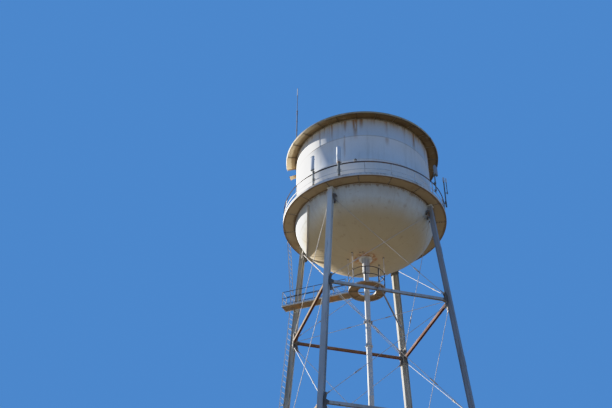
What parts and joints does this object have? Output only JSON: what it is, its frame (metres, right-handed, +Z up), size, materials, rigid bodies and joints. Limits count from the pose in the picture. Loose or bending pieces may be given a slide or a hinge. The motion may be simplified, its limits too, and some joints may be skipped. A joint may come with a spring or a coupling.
{
  "type": "water tower",
  "caption": "Steel water tower: a cylindrical tank with a rounded bottom and a balcony, on battered legs braced by struts and tie rods.",
  "frame": {"origin": "on the ground under the middle of the tank", "axes": "+Z up along the riser; the legs stand at 45 degrees to X and Y, and -Y is the front"},
  "size_m": [10.7256, 10.7256, 38.84],
  "materials": {
    "tank_paint": "weathered off-white paint with rust streaks",
    "bottom_paint": "weathered off-white paint, dusty below",
    "roof_paint": "weathered beige paint with rust",
    "leg_paint": "weathered grey paint",
    "balcony_paint": "beige paint, rusty below",
    "rail_paint": "brown weathered steel",
    "strut_paint": "grey paint with rust below",
    "rod_steel": "light grey paint",
    "aerial_grey": "light grey plastic cover",
    "mast_steel": "dull galvanised steel",
    "concrete": "weathered concrete"
  },
  "bodies": {
    "root": {"aerial_corner": "aerial_grey", "aerial_left": "aerial_grey", "aerial_middle": "aerial_grey", "aerial_right": "aerial_grey", "balcony_floor": "balcony_paint", "balcony_railing": "rail_paint", "ladder_lower": "rod_steel", "ladder_shell": "rod_steel", "ladder_upper": "rod_steel", "leg_back_left": "leg_paint", "leg_back_right": "leg_paint", "leg_front_left": "leg_paint", "leg_front_right": "leg_paint", "pier_back_left": "concrete", "pier_back_right": "concrete", "pier_front_left": "concrete", "pier_front_right": "concrete", "platform_beam": "strut_paint", "platform_floor": "balcony_paint", "platform_railing": "rail_paint", "riser_pier": "concrete", "riser_pipe": "leg_paint", "riser_stays_1": "rod_steel", "riser_stays_2": "rod_steel", "riser_stays_3": "rod_steel", "roof_cone": "roof_paint", "roof_hatch": "roof_paint", "roof_mast": "mast_steel", "roof_vent": "roof_paint", "strut_back_1": "strut_paint", "strut_back_2": "strut_paint", "strut_back_3": "strut_paint", "strut_front_1": "strut_paint", "strut_front_2": "strut_paint", "strut_front_3": "strut_paint", "strut_left_1": "strut_paint", "strut_left_2": "strut_paint", "strut_left_3": "strut_paint", "strut_right_1": "strut_paint", "strut_right_2": "strut_paint", "strut_right_3": "strut_paint", "tank_bottom": "bottom_paint", "tank_shell": "tank_paint", "tie_rods_back_1": "rod_steel", "tie_rods_back_2": "rod_steel", "tie_rods_back_3": "rod_steel", "tie_rods_back_4": "rod_steel", "tie_rods_front_1": "rod_steel", "tie_rods_front_2": "rod_steel", "tie_rods_front_3": "rod_steel", "tie_rods_front_4": "rod_steel", "tie_rods_left_1": "rod_steel", "tie_rods_left_2": "rod_steel", "tie_rods_left_3": "rod_steel", "tie_rods_left_4": "rod_steel", "tie_rods_right_1": "rod_steel", "tie_rods_right_2": "rod_steel", "tie_rods_right_3": "rod_steel", "tie_rods_right_4": "rod_steel", "walkway": "balcony_paint"}
  },
  "joints": []
}
